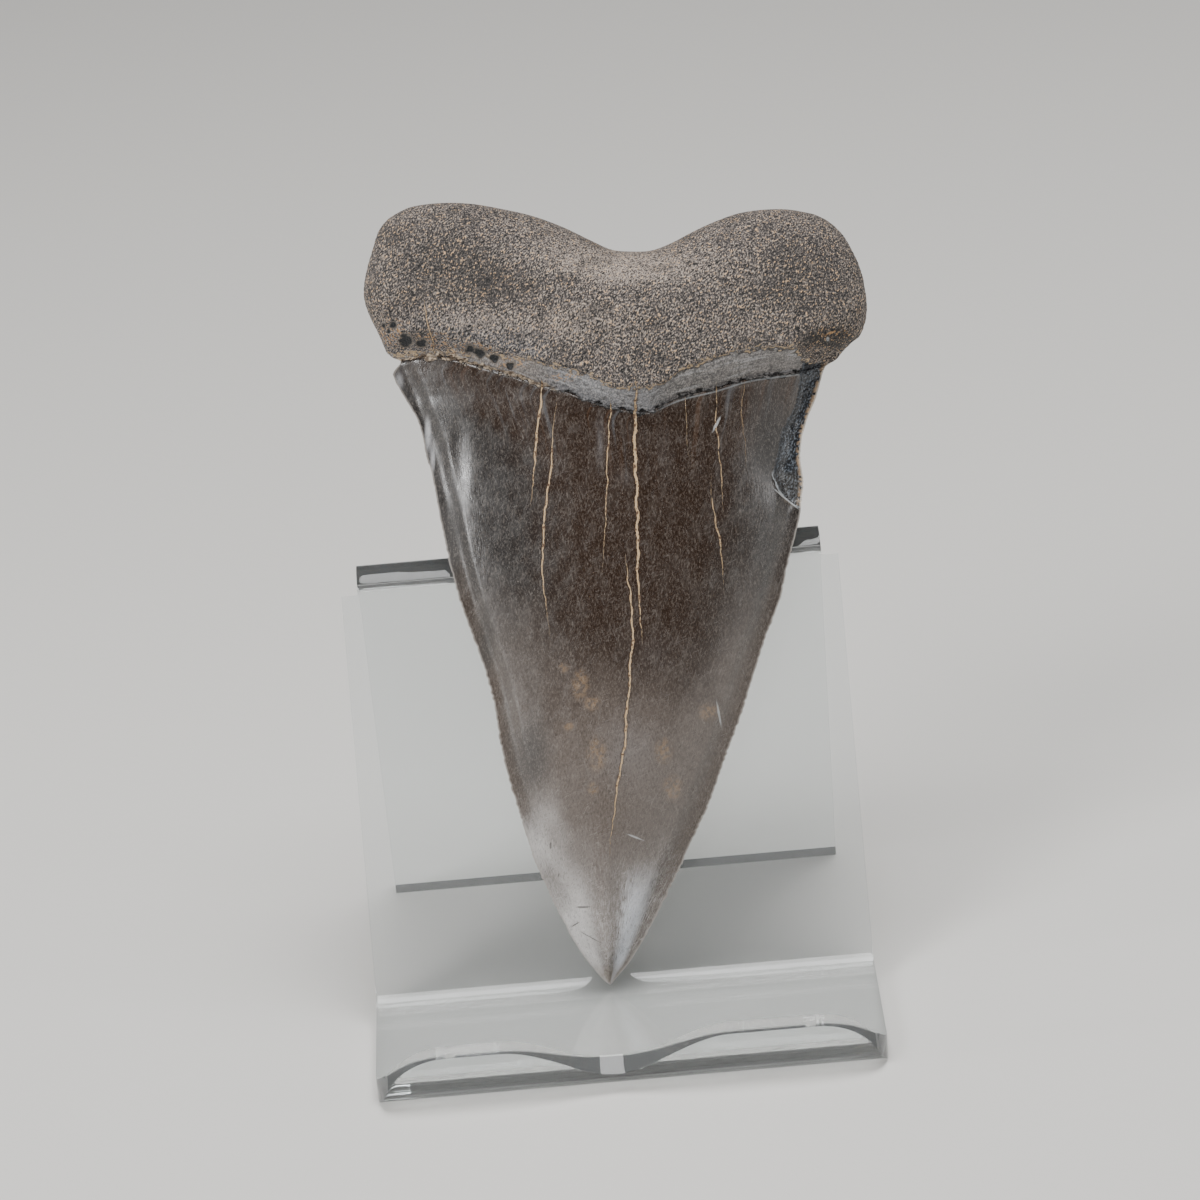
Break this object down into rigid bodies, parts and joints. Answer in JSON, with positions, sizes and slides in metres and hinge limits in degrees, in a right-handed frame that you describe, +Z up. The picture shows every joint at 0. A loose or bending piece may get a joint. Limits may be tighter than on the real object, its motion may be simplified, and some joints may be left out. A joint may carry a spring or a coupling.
{
  "type": "fossil shark tooth on display stand",
  "caption": "Broad, flat fossil mako shark tooth with a two-lobed root, leaning tip down on a small clear easel bent from acrylic sheet.",
  "frame": {"origin": "middle of the bounding box, on the table that the easel stands on", "axes": "+Z up, -Y towards the front of the easel, +X to the right of someone who looks at the front"},
  "size_m": [0.0478, 0.0506, 0.0674],
  "materials": {
    "fossil_tooth": "worn glossy enamel, with a dull, finely pitted root",
    "clear_acrylic": "clear polished cast acrylic"
  },
  "bodies": {
    "root": {"tooth": "fossil_tooth", "easel": "clear_acrylic"}
  },
  "joints": []
}
